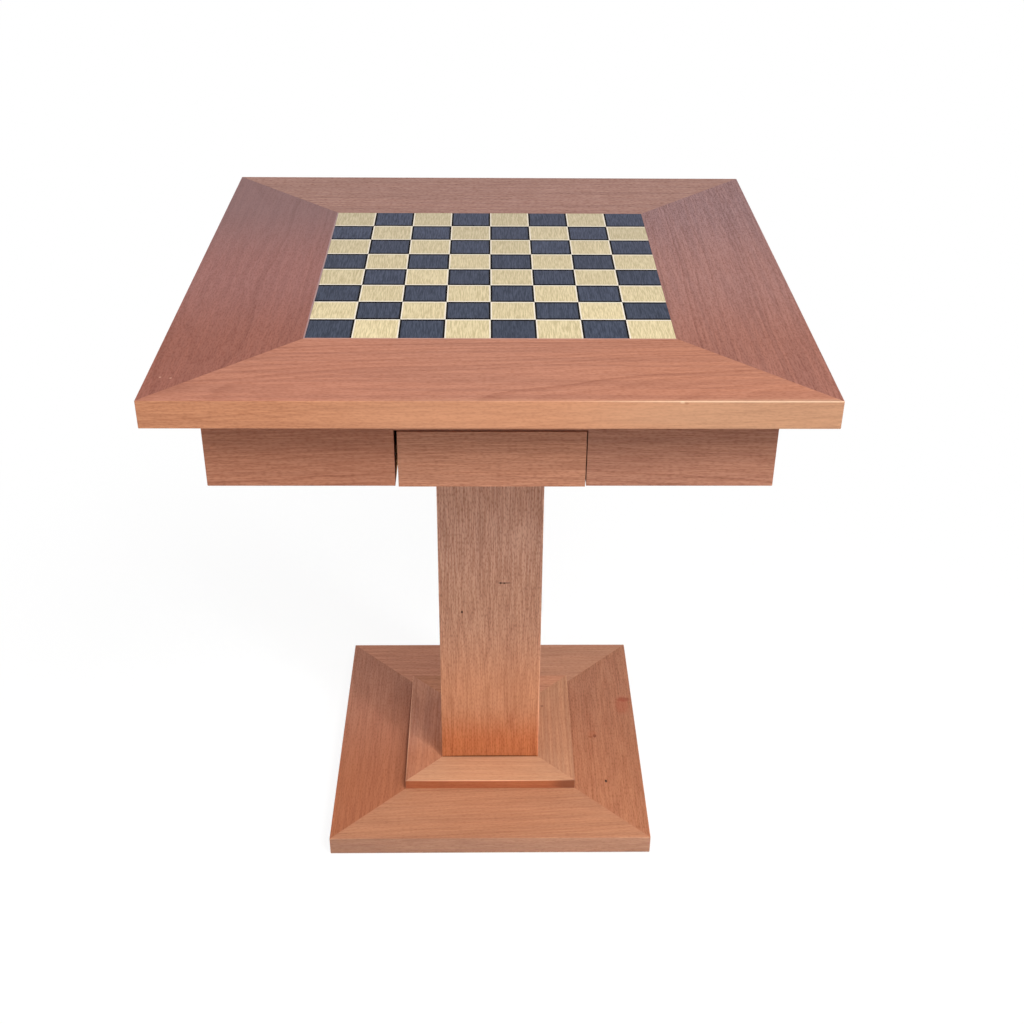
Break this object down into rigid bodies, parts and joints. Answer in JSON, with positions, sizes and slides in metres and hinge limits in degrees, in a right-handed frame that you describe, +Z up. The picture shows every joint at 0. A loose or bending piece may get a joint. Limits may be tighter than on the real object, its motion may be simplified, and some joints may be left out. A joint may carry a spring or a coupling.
{
  "type": "chess table",
  "caption": "Square pedestal table of red-brown wood with an inlaid chessboard, a drawer in the apron for each player, a square column and a stepped base.",
  "frame": {"origin": "on the floor, under the middle of the column", "axes": "+Z up; the front, with the drawer that the picture shows, faces -Y; +X to the right seen from the front"},
  "size_m": [0.7, 0.7, 0.75],
  "materials": {
    "top_wood": "satin lacquer, red-brown close-grained hardwood",
    "apron_wood": "satin lacquer, red-brown close-grained hardwood",
    "column_wood": "satin lacquer, red-brown close-grained hardwood",
    "base_wood": "satin lacquer, red-brown close-grained hardwood",
    "drawer_front_wood": "satin lacquer, red-brown close-grained hardwood",
    "light_square_wood": "satin lacquer, pale straw-coloured hardwood",
    "dark_square_wood": "satin lacquer, slate-dark stained hardwood",
    "board_substrate": "plain board, out of sight",
    "frame_wood": "unfinished secondary timber",
    "runner_wood": "waxed hardwood",
    "drawer_box_wood": "thin lacquer, pale secondary timber",
    "drawer_bottom_board": "thin plywood",
    "zinc_steel": "bright zinc plate",
    "felt": "dark felt"
  },
  "bodies": {
    "table": {"apron_front_left": "apron_wood", "apron_front_rail": "apron_wood", "apron_front_right": "apron_wood", "apron_left": "apron_wood", "apron_rear_left": "apron_wood", "apron_rear_rail": "apron_wood", "apron_rear_right": "apron_wood", "apron_right": "apron_wood", "base_board_front": "base_wood", "base_board_left": "base_wood", "base_board_rear": "base_wood", "base_board_right": "base_wood", "base_core": "frame_wood", "base_tongues": "runner_wood", "bearer_across": "frame_wood", "bearer_along": "frame_wood", "board_panel": "board_substrate", "collar_front": "base_wood", "collar_left": "base_wood", "collar_rear": "base_wood", "collar_right": "base_wood", "column_foot_block": "frame_wood", "column_front": "column_wood", "column_head_block": "frame_wood", "column_left": "column_wood", "column_rear": "column_wood", "column_right": "column_wood", "corner_blocks": "frame_wood", "dark_squares": "dark_square_wood", "dowels": "runner_wood", "drawer_cheek_left": "frame_wood", "drawer_cheek_right": "frame_wood", "felt_pads": "felt", "frame_screws": "zinc_steel", "front_drawer_runners": "runner_wood", "light_squares": "light_square_wood", "rear_drawer_runners": "runner_wood", "runner_screws": "zinc_steel", "tie_rod": "zinc_steel", "tie_rod_nuts": "zinc_steel", "tie_rod_washers": "zinc_steel", "top_board_front": "top_wood", "top_board_left": "top_wood", "top_board_rear": "top_wood", "top_board_right": "top_wood", "top_mitre_tongues": "runner_wood"},
    "front_drawer": {"front_drawer_panel": "drawer_front_wood", "front_drawer_side_left": "drawer_box_wood", "front_drawer_side_right": "drawer_box_wood", "front_drawer_back": "drawer_box_wood", "front_drawer_bottom": "drawer_bottom_board", "front_drawer_bottom_screws": "zinc_steel"},
    "rear_drawer": {"rear_drawer_panel": "drawer_front_wood", "rear_drawer_side_left": "drawer_box_wood", "rear_drawer_side_right": "drawer_box_wood", "rear_drawer_back": "drawer_box_wood", "rear_drawer_bottom": "drawer_bottom_board", "rear_drawer_bottom_screws": "zinc_steel"}
  },
  "joints": [
    {"name": "front_drawer_slide", "type": "slide", "parent": "table", "child": "front_drawer", "axis": [0, -1, 0], "range_m": [0, 0.14]},
    {"name": "rear_drawer_slide", "type": "slide", "parent": "table", "child": "rear_drawer", "axis": [0, 1, 0], "range_m": [0, 0.14]}
  ]
}
